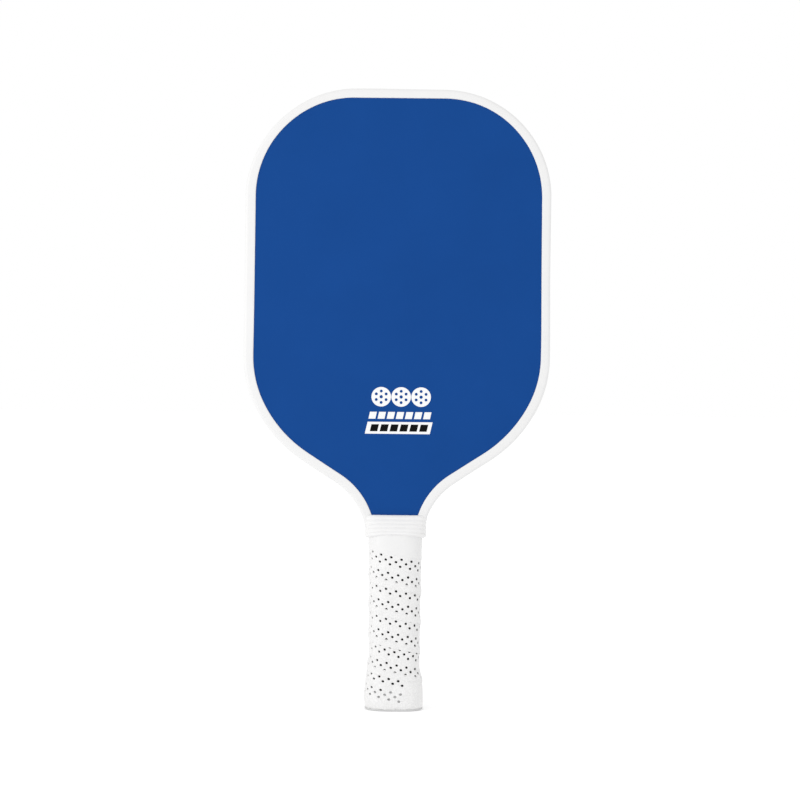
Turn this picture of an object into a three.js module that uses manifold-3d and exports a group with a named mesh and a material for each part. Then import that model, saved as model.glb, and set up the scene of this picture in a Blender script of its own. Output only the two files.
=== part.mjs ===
// Pickleball paddle: a honeycomb-cored blade in a plastic edge guard, on a tape-wrapped handle.
// Millimetres. The paddle stands on its butt: +Z runs up its length, -Y is its printed front and
// X is its width. The origin is the middle of the butt's flat end.
import * as THREE from "three";
import { mergeVertices } from "three/addons/utils/BufferGeometryUtils.js";
import Module from "manifold-3d";

const wasm = await Module();
wasm.setup();

// --- Driving dimensions -------------------------------------------------------------------------

const PADDLE_LENGTH = 406.4;
const BLADE_HALF_WIDTH = 99.7;

// The blade's outline, over the guard. Headings are degrees from straight down.
const CORNER_RADIUS = 70.7;
const SHOULDER_START_Z = 231.3;
const SHOULDER_RADIUS = 73.8;
const SHOULDER_HEADING = 27.5;
const FLANK_RADIUS = 90.2;
const FLANK_HEADING = 57.2;
const FLANK_STRAIGHT = 25.9;
const NECK_RADIUS = 43.7;
const ARC_STEP = 7.5;

// Layers of the blade, from the middle outwards. Eighths of a millimetre keep the faces exact.
const CORE_HALF_THICKNESS = 6.5;
const FILM_THICKNESS = 0.125;
const SHEET_THICKNESS = 0.5;
const LIP_THICKNESS = 1;

// Edge guard: a channel whose lips reach over the faces.
const GUARD_WALL = 1.5;
const GUARD_GLUE_GAP = 0.25;
const GUARD_LIP = 5.9;
const GUARD_ROUNDING = 1.25;
const GUARD_END_Z = 119;

// Honeycomb core.
const CELL_PITCH = 22;
const CELL_WALL = 3;
const CORE_RIM = 4;

// Tongue: the narrow end of the blade that runs down inside the handle.
const TONGUE_HALF_WIDTH = 12.5;
const TONGUE_END_Z = 6;

// The clear middle of each face sheet, a face of its own.
const MIDDLE_HALF_WIDTH = 60;
const MIDDLE_LOW_Z = 200;
const MIDDLE_HIGH_Z = 360;

// Handle. Its section is a rounded oblong, given by its half width.
const HANDLE_DEPTH_RATIO = 0.84;
const HANDLE_SQUARENESS = 2.8;
const SECTION_SEGMENTS = 40;
const SHELL_HALF_WIDTH = 14.8;
const SHELL_START_Z = 4.3;
const SHELL_END_Z = 118;
const RAMP_END_Z = 125.5;
const RAMP_HALF_WIDTH = 12.4;
const RAMP_TIP = 8.25;
const FIT_GAP = 0.25;

// Butt cap.
const CAP_HEIGHT = 21;
const CAP_FLOOR = 4;
const CAP_SKIRT_HALF_WIDTH = 17.2;
const CAP_FLANGE_HALF_WIDTH = 19;
const CAP_FLANGE_HEIGHT = 1.25;
const CAP_RIM_THICKNESS = 0.9;
const BADGE_HALF_WIDTH = 11;
const BADGE_THICKNESS = 0.75;

// Grip: a dark cushion under a pale outer skin, held at the top by a tape and a ribbed collar.
const CUSHION_THICKNESS = 1;
const CUSHION_BUTT_THICKNESS = 0.75;
const GRIP_START_Z = 1.5;
const GRIP_END_Z = 117;
const GRIP_HALF_WIDTH = 17.05;
const GRIP_WAIST_HALF_WIDTH = 16.75;
const GRIP_TOP_HALF_WIDTH = 17.5;
const BUTT_HALF_WIDTH = 19.35;
const FLARE_START_Z = 25;
const FLARE_END_Z = 13;
const FINISHING_BOTTOM_Z = 99.5;
const FINISHING_TOP_Z = 116;
const FINISHING_THICKNESS = 0.25;
const COLLAR_BOTTOM_Z = 112;
const COLLAR_TOP_Z = 127.5;
const COLLAR_BOTTOM_HALF_WIDTH = 20.1;
const COLLAR_TOP_HALF_WIDTH = 21.7;
const COLLAR_TOP_DEPTH_RATIO = 0.6;
const COLLAR_TOP_SQUARENESS = 4.5;
const COLLAR_RIBS = 5;
const COLLAR_GROOVE = 0.35;
const COLLAR_LIP = 2;
const COLLAR_WALL = 1;

// Staples of flat wire.
const STAPLE_CROWN = 9;
const STAPLE_LEG = 3.5;
const STAPLE_WIRE = 0.75;
const STAPLE_Z = 14;
const STAPLE_SINK = 0.25;

// --- Helpers ------------------------------------------------------------------------------------

const radians = THREE.MathUtils.degToRad;

const paddle = new THREE.Group();

function addPiece(name, geometry, color, roughness, metalness = 0) {
  const material = new THREE.MeshStandardMaterial({ color, roughness, metalness });
  const mesh = new THREE.Mesh(geometry, material);
  mesh.name = name;
  paddle.add(mesh);
}

function solidOf(geometry) {
  const bare = geometry.clone();
  bare.deleteAttribute("normal");
  bare.deleteAttribute("uv");
  const merged = mergeVertices(bare);
  const mesh = new wasm.Mesh({
    numProp: 3,
    vertProperties: new Float32Array(merged.attributes.position.array),
    triVerts: new Uint32Array(merged.index.array),
  });
  return new wasm.Manifold(mesh);
}

function geometryOf(solid) {
  const { numProp, vertProperties, triVerts } = solid.getMesh();
  const geometry = new THREE.BufferGeometry();
  const vertices = new THREE.InterleavedBuffer(vertProperties, numProp);
  geometry.setAttribute("position", new THREE.InterleavedBufferAttribute(vertices, 3, 0));
  geometry.setIndex(new THREE.BufferAttribute(triVerts, 1));
  const flat = geometry.toNonIndexed();
  flat.computeVertexNormals();
  return flat;
}

function boxBetween(low, high) {
  const size = high.map((value, axis) => value - low[axis]);
  const middle = high.map((value, axis) => (value + low[axis]) / 2);
  return new THREE.BoxGeometry(...size).translate(...middle);
}

// --- Blade --------------------------------------------------------------------------------------

const FILM_Y = CORE_HALF_THICKNESS;
const SHEET_Y = FILM_Y + FILM_THICKNESS;
const LIP_Y = SHEET_Y + SHEET_THICKNESS;
const GUARD_HALF_THICKNESS = LIP_Y + LIP_THICKNESS;
const PANEL_INSET = GUARD_WALL + GUARD_GLUE_GAP;

// The right half of the blade's outline, moved inwards by inset, from the middle of the top down
// the corner, side, shoulder and neck. Its last point is where the neck runs straight down.
function bladeSide(inset) {
  const here = new THREE.Vector2(0, PADDLE_LENGTH - inset);
  const points = [here.clone()];
  let heading = -90;

  // The unit vector towards the blade's inside at a heading.
  const inwards = (angle) => new THREE.Vector2(-Math.cos(radians(angle)), Math.sin(radians(angle)));

  function goTo(x, z) {
    here.set(x, z);
    points.push(here.clone());
  }

  function turn(newHeading, outerRadius) {
    const side = newHeading > heading ? 1 : -1;
    const reach = side * (outerRadius - side * inset);
    const centre = here.clone().addScaledVector(inwards(heading), reach);
    const steps = Math.ceil(Math.abs(newHeading - heading) / ARC_STEP);
    for (let step = 1; step <= steps; step++) {
      const angle = heading + ((newHeading - heading) * step) / steps;
      points.push(centre.clone().addScaledVector(inwards(angle), -reach));
    }
    here.copy(points.at(-1));
    heading = newHeading;
  }

  goTo(BLADE_HALF_WIDTH - CORNER_RADIUS, PADDLE_LENGTH - inset);
  turn(0, CORNER_RADIUS);
  goTo(BLADE_HALF_WIDTH - inset, SHOULDER_START_Z);
  turn(SHOULDER_HEADING, SHOULDER_RADIUS);
  turn(FLANK_HEADING, FLANK_RADIUS);
  const slope = radians(FLANK_HEADING);
  goTo(here.x - FLANK_STRAIGHT * Math.sin(slope), here.y - FLANK_STRAIGHT * Math.cos(slope));
  turn(0, NECK_RADIUS);
  return points;
}

// A closed shape from the right half of an outline that starts on the middle line.
function mirrored(rightSide) {
  const leftSide = rightSide.slice(1).reverse().map((point) => new THREE.Vector2(-point.x, point.y));
  return new THREE.Shape([...rightSide, ...leftSide].reverse());
}

// The right half of the blade's outline as far down as bottomZ, which may lie below the neck.
function bladeSideTo(inset, bottomZ) {
  const side = bladeSide(inset);
  side.push(new THREE.Vector2(side.at(-1).x, 0));
  const cut = side.findIndex((point) => point.y < bottomZ);
  const [above, below] = [side[cut - 1], side[cut]];
  const along = (above.y - bottomZ) / (above.y - below.y);
  return [...side.slice(0, cut), above.clone().lerp(below, along)];
}

function bladeShape(inset, bottomZ) {
  return mirrored(bladeSideTo(inset, bottomZ));
}

// The panel's outline: the blade, a step at the neck, and the tongue.
function panelShape() {
  const side = bladeSideTo(PANEL_INSET, GUARD_END_Z);
  side.push(new THREE.Vector2(TONGUE_HALF_WIDTH, GUARD_END_Z));
  side.push(new THREE.Vector2(TONGUE_HALF_WIDTH, TONGUE_END_Z));
  return mirrored(side);
}

// A shape in the plane of the blade, extruded from y = low to y = high, which are multiples of 1/8
// so that layers meet exactly.
function slab(shape, low, high, rounding = 0) {
  const geometry = new THREE.ExtrudeGeometry(shape, {
    depth: high - low - 2 * rounding,
    bevelEnabled: rounding > 0,
    bevelThickness: rounding,
    bevelSize: rounding,
    bevelOffset: -rounding,
    bevelSegments: 2,
  });
  return geometry.rotateX(Math.PI / 2).translate(0, high - rounding, 0);
}

function distanceToOutline(point, outline) {
  let nearest = Infinity;
  const onEdge = new THREE.Vector3();
  for (let i = 0; i < outline.length; i++) {
    const start = outline[i];
    const end = outline[(i + 1) % outline.length];
    const edge = new THREE.Line3(new THREE.Vector3(start.x, start.y), new THREE.Vector3(end.x, end.y));
    edge.closestPointToPoint(point, true, onEdge);
    nearest = Math.min(nearest, onEdge.distanceTo(point));
  }
  return nearest;
}

function isInside(point, outline) {
  let inside = false;
  for (let i = 0; i < outline.length; i++) {
    const start = outline[i];
    const end = outline[(i + 1) % outline.length];
    const crosses = start.y > point.y !== end.y > point.y;
    const along = (point.y - start.y) / (end.y - start.y);
    if (crosses && point.x < start.x + along * (end.x - start.x)) inside = !inside;
  }
  return inside;
}

function hexagon(x, z, radius) {
  const corners = [];
  for (let corner = 0; corner < 6; corner++) {
    const angle = radians(60 * corner + 30);
    corners.push(new THREE.Vector2(x + radius * Math.cos(angle), z + radius * Math.sin(angle)));
  }
  return new THREE.Path(corners);
}

// The core: the panel's outline with hexagonal cells right through it.
function honeycombShape() {
  const shape = panelShape();
  const outline = shape.getPoints();
  const cellRadius = (CELL_PITCH - CELL_WALL) / Math.sqrt(3);
  const rowHeight = (CELL_PITCH * Math.sqrt(3)) / 2;
  const rows = Math.ceil(PADDLE_LENGTH / rowHeight);
  const columns = Math.ceil(BLADE_HALF_WIDTH / CELL_PITCH);
  for (let row = 0; row < rows; row++) {
    for (let column = -columns; column <= columns; column++) {
      const middle = new THREE.Vector3((column + (row % 2) / 2) * CELL_PITCH, row * rowHeight);
      const isClear = distanceToOutline(middle, outline) > cellRadius + CORE_RIM;
      if (isClear && isInside(middle, outline)) shape.holes.push(hexagon(middle.x, middle.y, cellRadius));
    }
  }
  return shape;
}

// The middle is joined on as a plate of its own, so that its edges stay in the sheet's face.
function faceSheet(low, high) {
  const corners = [[-MIDDLE_HALF_WIDTH, low, MIDDLE_LOW_Z], [MIDDLE_HALF_WIDTH, high, MIDDLE_HIGH_Z]];
  const middle = solidOf(boxBetween(...corners));
  return geometryOf(solidOf(slab(panelShape(), low, high)).subtract(middle).add(middle));
}

function edgeGuard() {
  const half = GUARD_HALF_THICKNESS;
  const outline = bladeShape(0, GUARD_END_Z - 2 * GUARD_ROUNDING);
  const outside = solidOf(slab(outline, -half, half, GUARD_ROUNDING));
  const channel = solidOf(slab(bladeShape(GUARD_WALL, 1), -LIP_Y, LIP_Y));
  const window = solidOf(slab(bladeShape(GUARD_LIP, 1), -BLADE_HALF_WIDTH, BLADE_HALF_WIDTH));
  const below = boxBetween([-BLADE_HALF_WIDTH, -2 * half, 0], [BLADE_HALF_WIDTH, 2 * half, GUARD_END_Z]);
  return geometryOf(outside.subtract(channel).subtract(window).subtract(solidOf(below)));
}

// --- Handle -------------------------------------------------------------------------------------

// Turns a profile of [half width, z] pairs about the paddle's axis, and flattens each circle to
// the handle's rounded oblong, or to the section that sectionAt gives for that height.
function oblong(profile, sectionAt = () => [HANDLE_DEPTH_RATIO, HANDLE_SQUARENESS]) {
  const points = profile.map(([halfWidth, z]) => new THREE.Vector2(halfWidth, z));
  const geometry = new THREE.LatheGeometry(points, SECTION_SEGMENTS).rotateX(Math.PI / 2);
  const position = geometry.attributes.position;
  for (let i = 0; i < position.count; i++) {
    const [x, y, z] = [position.getX(i), position.getY(i), position.getZ(i)];
    const radius = Math.hypot(x, y);
    if (radius === 0) continue;
    const [depthRatio, squareness] = sectionAt(z);
    const bulge = Math.abs(x / radius) ** squareness + Math.abs(y / radius) ** squareness;
    const stretch = bulge ** (-1 / squareness);
    position.setXY(i, x * stretch, y * stretch * depthRatio);
  }
  return geometry;
}

// A sleeve between an inner and an outer line of [half width, z] pairs, both given upwards.
function sleeve(inner, outer) {
  return oblong([...outer, ...inner.slice().reverse(), outer[0]]);
}

function shiftedProfile(profile, outwards) {
  return profile.map(([halfWidth, z]) => [halfWidth + outwards, z]);
}

// The bare handle: two shells around the tongue, and a ramp up onto the blade's faces.
function handleSolid() {
  const column = (topZ) => solidOf(oblong([
    [0, SHELL_START_Z],
    [SHELL_HALF_WIDTH, SHELL_START_Z],
    [SHELL_HALF_WIDTH, topZ],
    [0, topZ],
  ]));
  const halfDepth = SHELL_HALF_WIDTH * HANDLE_DEPTH_RATIO;
  const slope = [[halfDepth, SHELL_END_Z - 10], [halfDepth, SHELL_END_Z], [RAMP_TIP, RAMP_END_Z]];
  const outline = [...slope, ...slope.map(([y, z]) => [-y, z]).reverse()];
  const shape = new THREE.Shape(outline.map(([y, z]) => new THREE.Vector2(y, z)));
  const wedge = new THREE.ExtrudeGeometry(shape, { depth: 2 * RAMP_HALF_WIDTH, bevelEnabled: false });
  wedge.rotateX(Math.PI / 2).rotateZ(Math.PI / 2).translate(-RAMP_HALF_WIDTH, 0, 0);
  const halfTongue = TONGUE_HALF_WIDTH + FIT_GAP;
  const tongue = boxBetween([-halfTongue, -LIP_Y, 0], [halfTongue, LIP_Y, PADDLE_LENGTH]);
  const ramp = column(RAMP_END_Z).intersect(solidOf(wedge));
  return column(SHELL_END_Z).add(ramp).subtract(solidOf(tongue));
}

const CAP_BORE = SHELL_HALF_WIDTH + FIT_GAP;
const CAP_TOP_HALF_WIDTH = CAP_BORE + CAP_RIM_THICKNESS;

function buttCap() {
  const recess = [BADGE_HALF_WIDTH + FIT_GAP, BADGE_THICKNESS + FIT_GAP];
  return solidOf(oblong([
    [0, recess[1]],
    recess,
    [recess[0], 0],
    [CAP_FLANGE_HALF_WIDTH, 0],
    [CAP_FLANGE_HALF_WIDTH, CAP_FLANGE_HEIGHT],
    [CAP_SKIRT_HALF_WIDTH, CAP_FLANGE_HEIGHT],
    [CAP_SKIRT_HALF_WIDTH, FLARE_END_Z],
    [CAP_TOP_HALF_WIDTH, CAP_HEIGHT],
    [CAP_BORE, CAP_HEIGHT],
    [CAP_BORE, CAP_FLOOR],
    [0, CAP_FLOOR],
  ]));
}

// The cushion's inner face: over the cap's skirt, then down onto the shells.
const cushionInner = [
  [CAP_SKIRT_HALF_WIDTH + FIT_GAP, GRIP_START_Z],
  [CAP_SKIRT_HALF_WIDTH + FIT_GAP, FLARE_END_Z],
  [CAP_TOP_HALF_WIDTH + FIT_GAP, CAP_HEIGHT + 1],
  [SHELL_HALF_WIDTH + FIT_GAP, CAP_HEIGHT + 5],
  [SHELL_HALF_WIDTH + FIT_GAP, GRIP_END_Z],
];
// It is squashed thinner over the cap.
const cushionOuter = cushionInner.map(([halfWidth, z]) => {
  const thickness = z > CAP_HEIGHT + 1 ? CUSHION_THICKNESS : CUSHION_BUTT_THICKNESS;
  return [halfWidth + thickness, z];
});
const skinOuter = [
  [BUTT_HALF_WIDTH, GRIP_START_Z],
  [BUTT_HALF_WIDTH, FLARE_END_Z],
  [GRIP_HALF_WIDTH, FLARE_START_Z],
  [GRIP_WAIST_HALF_WIDTH, (FLARE_START_Z + GRIP_END_Z) / 3],
  [GRIP_HALF_WIDTH, (FLARE_START_Z + GRIP_END_Z) / 2],
  [GRIP_TOP_HALF_WIDTH, FINISHING_BOTTOM_Z],
  [GRIP_TOP_HALF_WIDTH, GRIP_END_Z],
];

const FINISHING_BORE = GRIP_TOP_HALF_WIDTH + FINISHING_THICKNESS / 2;

function finishingTape() {
  const inner = [[FINISHING_BORE, FINISHING_BOTTOM_Z], [FINISHING_BORE, FINISHING_TOP_Z]];
  return sleeve(inner, shiftedProfile(inner, FINISHING_THICKNESS));
}

// The collar's section grows flatter and squarer from the grip up to the neck.
function collarSection(z) {
  const gripTop = GRIP_END_Z + FIT_GAP;
  const rise = THREE.MathUtils.clamp((z - gripTop) / (COLLAR_TOP_Z - gripTop), 0, 1);
  return [
    THREE.MathUtils.lerp(HANDLE_DEPTH_RATIO, COLLAR_TOP_DEPTH_RATIO, rise),
    THREE.MathUtils.lerp(HANDLE_SQUARENESS, COLLAR_TOP_SQUARENESS, rise),
  ];
}

// Round ribs stacked up the collar, from [share of a rib's height, depth of the groove].
const RIB_STEPS = [[0, COLLAR_GROOVE], [0.25, 0], [0.75, 0]];

function ribbedCollar() {
  const outer = [];
  const addPoint = (ribs, groove) => {
    const rise = ribs / COLLAR_RIBS;
    const halfWidth = THREE.MathUtils.lerp(COLLAR_BOTTOM_HALF_WIDTH, COLLAR_TOP_HALF_WIDTH, rise);
    outer.push([halfWidth - groove, THREE.MathUtils.lerp(COLLAR_BOTTOM_Z, COLLAR_TOP_Z, rise)]);
  };
  for (let rib = 0; rib < COLLAR_RIBS; rib++) {
    for (const [share, groove] of RIB_STEPS) addPoint(rib + share, groove);
  }
  addPoint(COLLAR_RIBS, COLLAR_GROOVE);

  const bore = FINISHING_BORE + FINISHING_THICKNESS + FIT_GAP;
  const inner = [
    [bore, 0],
    [bore, GRIP_END_Z + FIT_GAP],
    [COLLAR_TOP_HALF_WIDTH - COLLAR_WALL, COLLAR_TOP_Z - COLLAR_LIP],
  ];
  const outside = solidOf(oblong([[0, COLLAR_BOTTOM_Z], ...outer, [0, COLLAR_TOP_Z]], collarSection));
  const inside = solidOf(oblong([[0, 0], ...inner, [0, COLLAR_TOP_Z - COLLAR_LIP]], collarSection));
  const half = GUARD_HALF_THICKNESS + FIT_GAP;
  const blade = solidOf(slab(bladeShape(-FIT_GAP, GUARD_END_Z - FIT_GAP), -half, half));
  return geometryOf(outside.subtract(inside).subtract(blade));
}

// A staple lying across the handle, its crown at depth y and its legs pointing to the axis. A
// clearance above 0 gives the pocket that the staple sits in.
function staple(y, clearance = 0) {
  const towardsAxis = -Math.sign(y);
  const bar = (x0, x1, depth) => {
    const ends = [y - towardsAxis * clearance, y + towardsAxis * (depth + clearance)];
    const low = [x0 - clearance, Math.min(...ends), STAPLE_Z - STAPLE_WIRE / 2 - clearance];
    const high = [x1 + clearance, Math.max(...ends), STAPLE_Z + STAPLE_WIRE / 2 + clearance];
    return solidOf(boxBetween(low, high));
  };
  const half = STAPLE_CROWN / 2;
  return bar(-half, half, STAPLE_WIRE)
    .add(bar(-half, -half + STAPLE_WIRE, STAPLE_LEG))
    .add(bar(half - STAPLE_WIRE, half, STAPLE_LEG));
}

// --- Assembly -----------------------------------------------------------------------------------

const BLUE = "#1c4c94";
const WHITE = "#f2f2f0";
const OFF_WHITE = "#e4e4e2";

const panel = panelShape();
const core = slab(honeycombShape(), -CORE_HALF_THICKNESS, CORE_HALF_THICKNESS);
addPiece("honeycomb_core", core, "#dfe3e2", 0.6);
addPiece("front_adhesive_film", slab(panel, -SHEET_Y, -FILM_Y), "#c9b98f", 0.5);
addPiece("rear_adhesive_film", slab(panel, FILM_Y, SHEET_Y), "#c9b98f", 0.5);
addPiece("front_face_sheet", faceSheet(-LIP_Y, -SHEET_Y), BLUE, 0.45);
addPiece("rear_face_sheet", faceSheet(SHEET_Y, LIP_Y), BLUE, 0.45);
addPiece("edge_guard", edgeGuard(), WHITE, 0.4);

// Two staples hold the cap to the shells, one in front and one behind, their crowns just under
// the face of the cap's skirt.
const crownDepth = CAP_SKIRT_HALF_WIDTH * HANDLE_DEPTH_RATIO - STAPLE_SINK;
let cap = buttCap();
let shells = handleSolid();
for (const [side, y] of [["front", -crownDepth], ["rear", crownDepth]]) {
  const pocket = staple(y, FIT_GAP);
  cap = cap.subtract(pocket);
  shells = shells.subtract(pocket);
  addPiece(`${side}_cap_staple`, geometryOf(staple(y)), "#b8bcc0", 0.35, 1);
}
addPiece("butt_cap", geometryOf(cap), OFF_WHITE, 0.45);
const badgeEdge = [[BADGE_HALF_WIDTH, 0], [BADGE_HALF_WIDTH, BADGE_THICKNESS]];
addPiece("butt_badge", oblong([[0, 0], ...badgeEdge, [0, BADGE_THICKNESS]]), OFF_WHITE, 0.4);

const far = PADDLE_LENGTH;
const frontHalf = solidOf(boxBetween([-far, -far, -far], [far, 0, far]));
addPiece("front_handle_shell", geometryOf(shells.intersect(frontHalf)), "#3c3d40", 0.7);
addPiece("rear_handle_shell", geometryOf(shells.subtract(frontHalf)), "#3c3d40", 0.7);

addPiece("grip_cushion", sleeve(cushionInner, cushionOuter), "#1b1b1c", 0.9);
addPiece("grip_tape", sleeve(shiftedProfile(cushionOuter, FIT_GAP), skinOuter), WHITE, 0.6);
addPiece("finishing_tape", finishingTape(), WHITE, 0.5);
addPiece("grip_collar", ribbedCollar(), WHITE, 0.65);

export default paddle;
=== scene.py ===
"""The looks of a pickleball paddle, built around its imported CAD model.

Shapes are worked out in millimetres in the part's own frame (+Z up the paddle, -Y its front) and
turned into metres as each mesh is made.
"""

import math

import bmesh
import bpy
import numpy as np
from mathutils import Matrix, Vector
from mathutils.geometry import delaunay_2d_cdt


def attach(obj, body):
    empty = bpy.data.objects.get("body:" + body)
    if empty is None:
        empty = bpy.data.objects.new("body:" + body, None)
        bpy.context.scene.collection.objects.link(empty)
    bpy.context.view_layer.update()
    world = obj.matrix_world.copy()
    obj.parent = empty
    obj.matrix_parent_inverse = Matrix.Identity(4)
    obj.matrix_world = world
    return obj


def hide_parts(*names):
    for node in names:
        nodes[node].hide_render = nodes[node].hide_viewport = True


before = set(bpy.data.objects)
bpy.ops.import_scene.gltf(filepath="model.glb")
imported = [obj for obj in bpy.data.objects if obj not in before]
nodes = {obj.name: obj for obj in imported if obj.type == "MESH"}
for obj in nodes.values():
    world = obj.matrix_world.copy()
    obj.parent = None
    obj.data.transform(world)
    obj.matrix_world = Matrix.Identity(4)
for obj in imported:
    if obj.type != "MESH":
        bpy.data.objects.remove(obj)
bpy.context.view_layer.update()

MM = 0.001
TAU = 2 * math.pi

# --- Camera --------------------------------------------------------------------------------------

VIEW_DISTANCE = 1450
VIEW_HEIGHT = 202.6
VIEW_SIDE = 2.56
VIEW_ROLL = 0.636
LENS = 99.3

camera_data = bpy.data.cameras.new("camera")
camera_data.sensor_width = 36
camera_data.lens = LENS
camera = bpy.data.objects.new("camera", camera_data)
place = Matrix.Translation((VIEW_SIDE * MM, -VIEW_DISTANCE * MM, VIEW_HEIGHT * MM))
level = Matrix.Rotation(math.radians(90), 4, "X")
camera.matrix_world = place @ level @ Matrix.Rotation(math.radians(VIEW_ROLL), 4, "Z")
bpy.context.scene.collection.objects.link(camera)
bpy.context.scene.camera = camera

# --- Mesh helpers --------------------------------------------------------------------------------


def lerp(a, b, t):
    return a + (b - a) * t


def smoothstep(low, high, value):
    t = np.clip((np.asarray(value, float) - low) / (high - low), 0, 1)
    return t * t * (3 - 2 * t)


def add_piece(name, vertices, faces, sharp=40, material=None, slot=None, replaces=()):
    """A closed piece of the object, from vertices in millimetres."""
    mesh = bpy.data.meshes.new(name)
    mesh.from_pydata((np.asarray(vertices, float) * MM).tolist(), [], faces)
    shape = bmesh.new()
    shape.from_mesh(mesh)
    bmesh.ops.recalc_face_normals(shape, faces=shape.faces)
    shape.to_mesh(mesh)
    shape.free()
    mesh.shade_smooth()
    mesh.set_sharp_from_angle(angle=math.radians(sharp))
    piece = bpy.data.objects.new(name, mesh)
    bpy.context.scene.collection.objects.link(piece)
    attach(piece, "root")
    if material:
        mesh.materials.append(material)
    if replaces:
        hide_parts(*replaces)
    return piece


def grid_faces(rows, columns, first=0, wrap_rows=False, wrap_columns=False):
    """Quads over a grid of vertices numbered row by row from first."""
    faces = []
    for row in range(rows if wrap_rows else rows - 1):
        above = (row + 1) % rows
        for column in range(columns if wrap_columns else columns - 1):
            right = (column + 1) % columns
            corners = ((row, column), (row, right), (above, right), (above, column))
            faces.append([first + r * columns + c for r, c in corners])
    return faces


def tube(rings, closed):
    """Vertices and faces of a surface through rings of points. If it isn't closed on itself, flat
    ends close it."""
    rings = np.asarray(rings, float)
    count, around = rings.shape[:2]
    faces = grid_faces(count, around, wrap_rows=closed, wrap_columns=True)
    if not closed:
        faces.append(list(range(around)))
        faces.append(list(range((count - 1) * around, count * around)))
    return rings.reshape(-1, 3), faces


def sheet_solid(outer, inner):
    """Vertices and faces of the solid between two grids of points."""
    rows, columns = outer.shape[:2]
    count = rows * columns
    faces = grid_faces(rows, columns) + grid_faces(rows, columns, first=count)
    border = [(0, c) for c in range(columns)]
    border += [(r, columns - 1) for r in range(1, rows)]
    border += [(rows - 1, c) for c in range(columns - 2, -1, -1)]
    border += [(r, 0) for r in range(rows - 2, 0, -1)]
    rim = [r * columns + c for r, c in border]
    for a, b in zip(rim, rim[1:] + rim[:1]):
        faces.append([a, b, b + count, a + count])
    return np.concatenate([outer.reshape(-1, 3), inner.reshape(-1, 3)]), faces


def inside(points, loop):
    """Which points lie inside a closed loop."""
    loop = np.asarray(loop, float)
    x, y = points[:, 0], points[:, 1]
    result = np.zeros(len(points), bool)
    for (x0, y0), (x1, y1) in zip(loop, np.roll(loop, -1, axis=0)):
        crosses = (y0 > y) != (y1 > y)
        if not crosses.any():
            continue
        reach = x0 + (y - y0) / (y1 - y0 if y1 != y0 else 1) * (x1 - x0)
        result ^= crosses & (x < reach)
    return result


def fill(outline, holes, extra=()):
    """Triangles over an outline with holes in it: (points, triangles, index of each hole's points)."""
    points, edges, first_of = [], [], []
    for loop in [outline, *holes]:
        first = len(points)
        first_of.append(first)
        count = len(loop)
        points.extend((float(x), float(y)) for x, y in loop)
        edges.extend((first + i, first + (i + 1) % count) for i in range(count))
    points.extend((float(x), float(y)) for x, y in extra)
    found, _, faces, origins, _, _ = delaunay_2d_cdt(points, edges, [], 0, 1e-6)
    flat = np.array([(p.x, p.y) for p in found])
    triangles = np.array([list(f) for f in faces])
    new_index = {old: new for new, olds in enumerate(origins) for old in olds}
    middles = flat[triangles].mean(axis=1)
    keep = inside(middles, outline)
    rings = []
    for first, loop in zip(first_of[1:], holes):
        rings.append([new_index[first + i] for i in range(len(loop))])
        loop = np.asarray(loop)
        low, high = loop.min(axis=0), loop.max(axis=0)
        near = np.flatnonzero(((middles > low) & (middles < high)).all(axis=1))
        keep[near] &= ~inside(middles[near], loop)
    return flat, triangles[keep], rings


def border_edges(triangles):
    """Directed edges that only one triangle uses."""
    edges = {}
    for a, b, c in triangles:
        for edge in ((a, b), (b, c), (c, a)):
            edges[edge] = True
    return [edge for edge in edges if edge[::-1] not in edges]


def prism(outline, holes, low, high):
    """Vertices and faces of an (x, z) outline with holes, from y = low to y = high."""
    flat, triangles, _ = fill(outline, holes)
    count = len(flat)
    layers = [np.column_stack([flat[:, 0], np.full(count, y), flat[:, 1]]) for y in (low, high)]
    faces = triangles.tolist() + (triangles[:, ::-1] + count).tolist()
    faces += [[a, b, b + count, a + count] for a, b in border_edges(triangles.tolist())]
    return np.concatenate(layers), faces


# --- Blade ---------------------------------------------------------------------------------------

# The sizes of the arcs and straights were rounded from a least-squares fit to the edge of the blue in
# the photo.
LENGTH = 406.4
BLADE_HALF_WIDTH = 99.7
CORNER_RADIUS = 70.7
SHOULDER_START = 231.3
SHOULDER_RADIUS = 73.8
SHOULDER_HEADING = 27.5
FLANK_RADIUS = 90.2
FLANK_HEADING = 57.2
FLANK_STRAIGHT = 25.9
NECK_RADIUS = 43.7

FACE_Y = 7.125
GUARD_Y = 8.125
GUARD_LIP = 5.9
GUARD_WALL = 1.5
GUARD_END = 119


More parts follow.
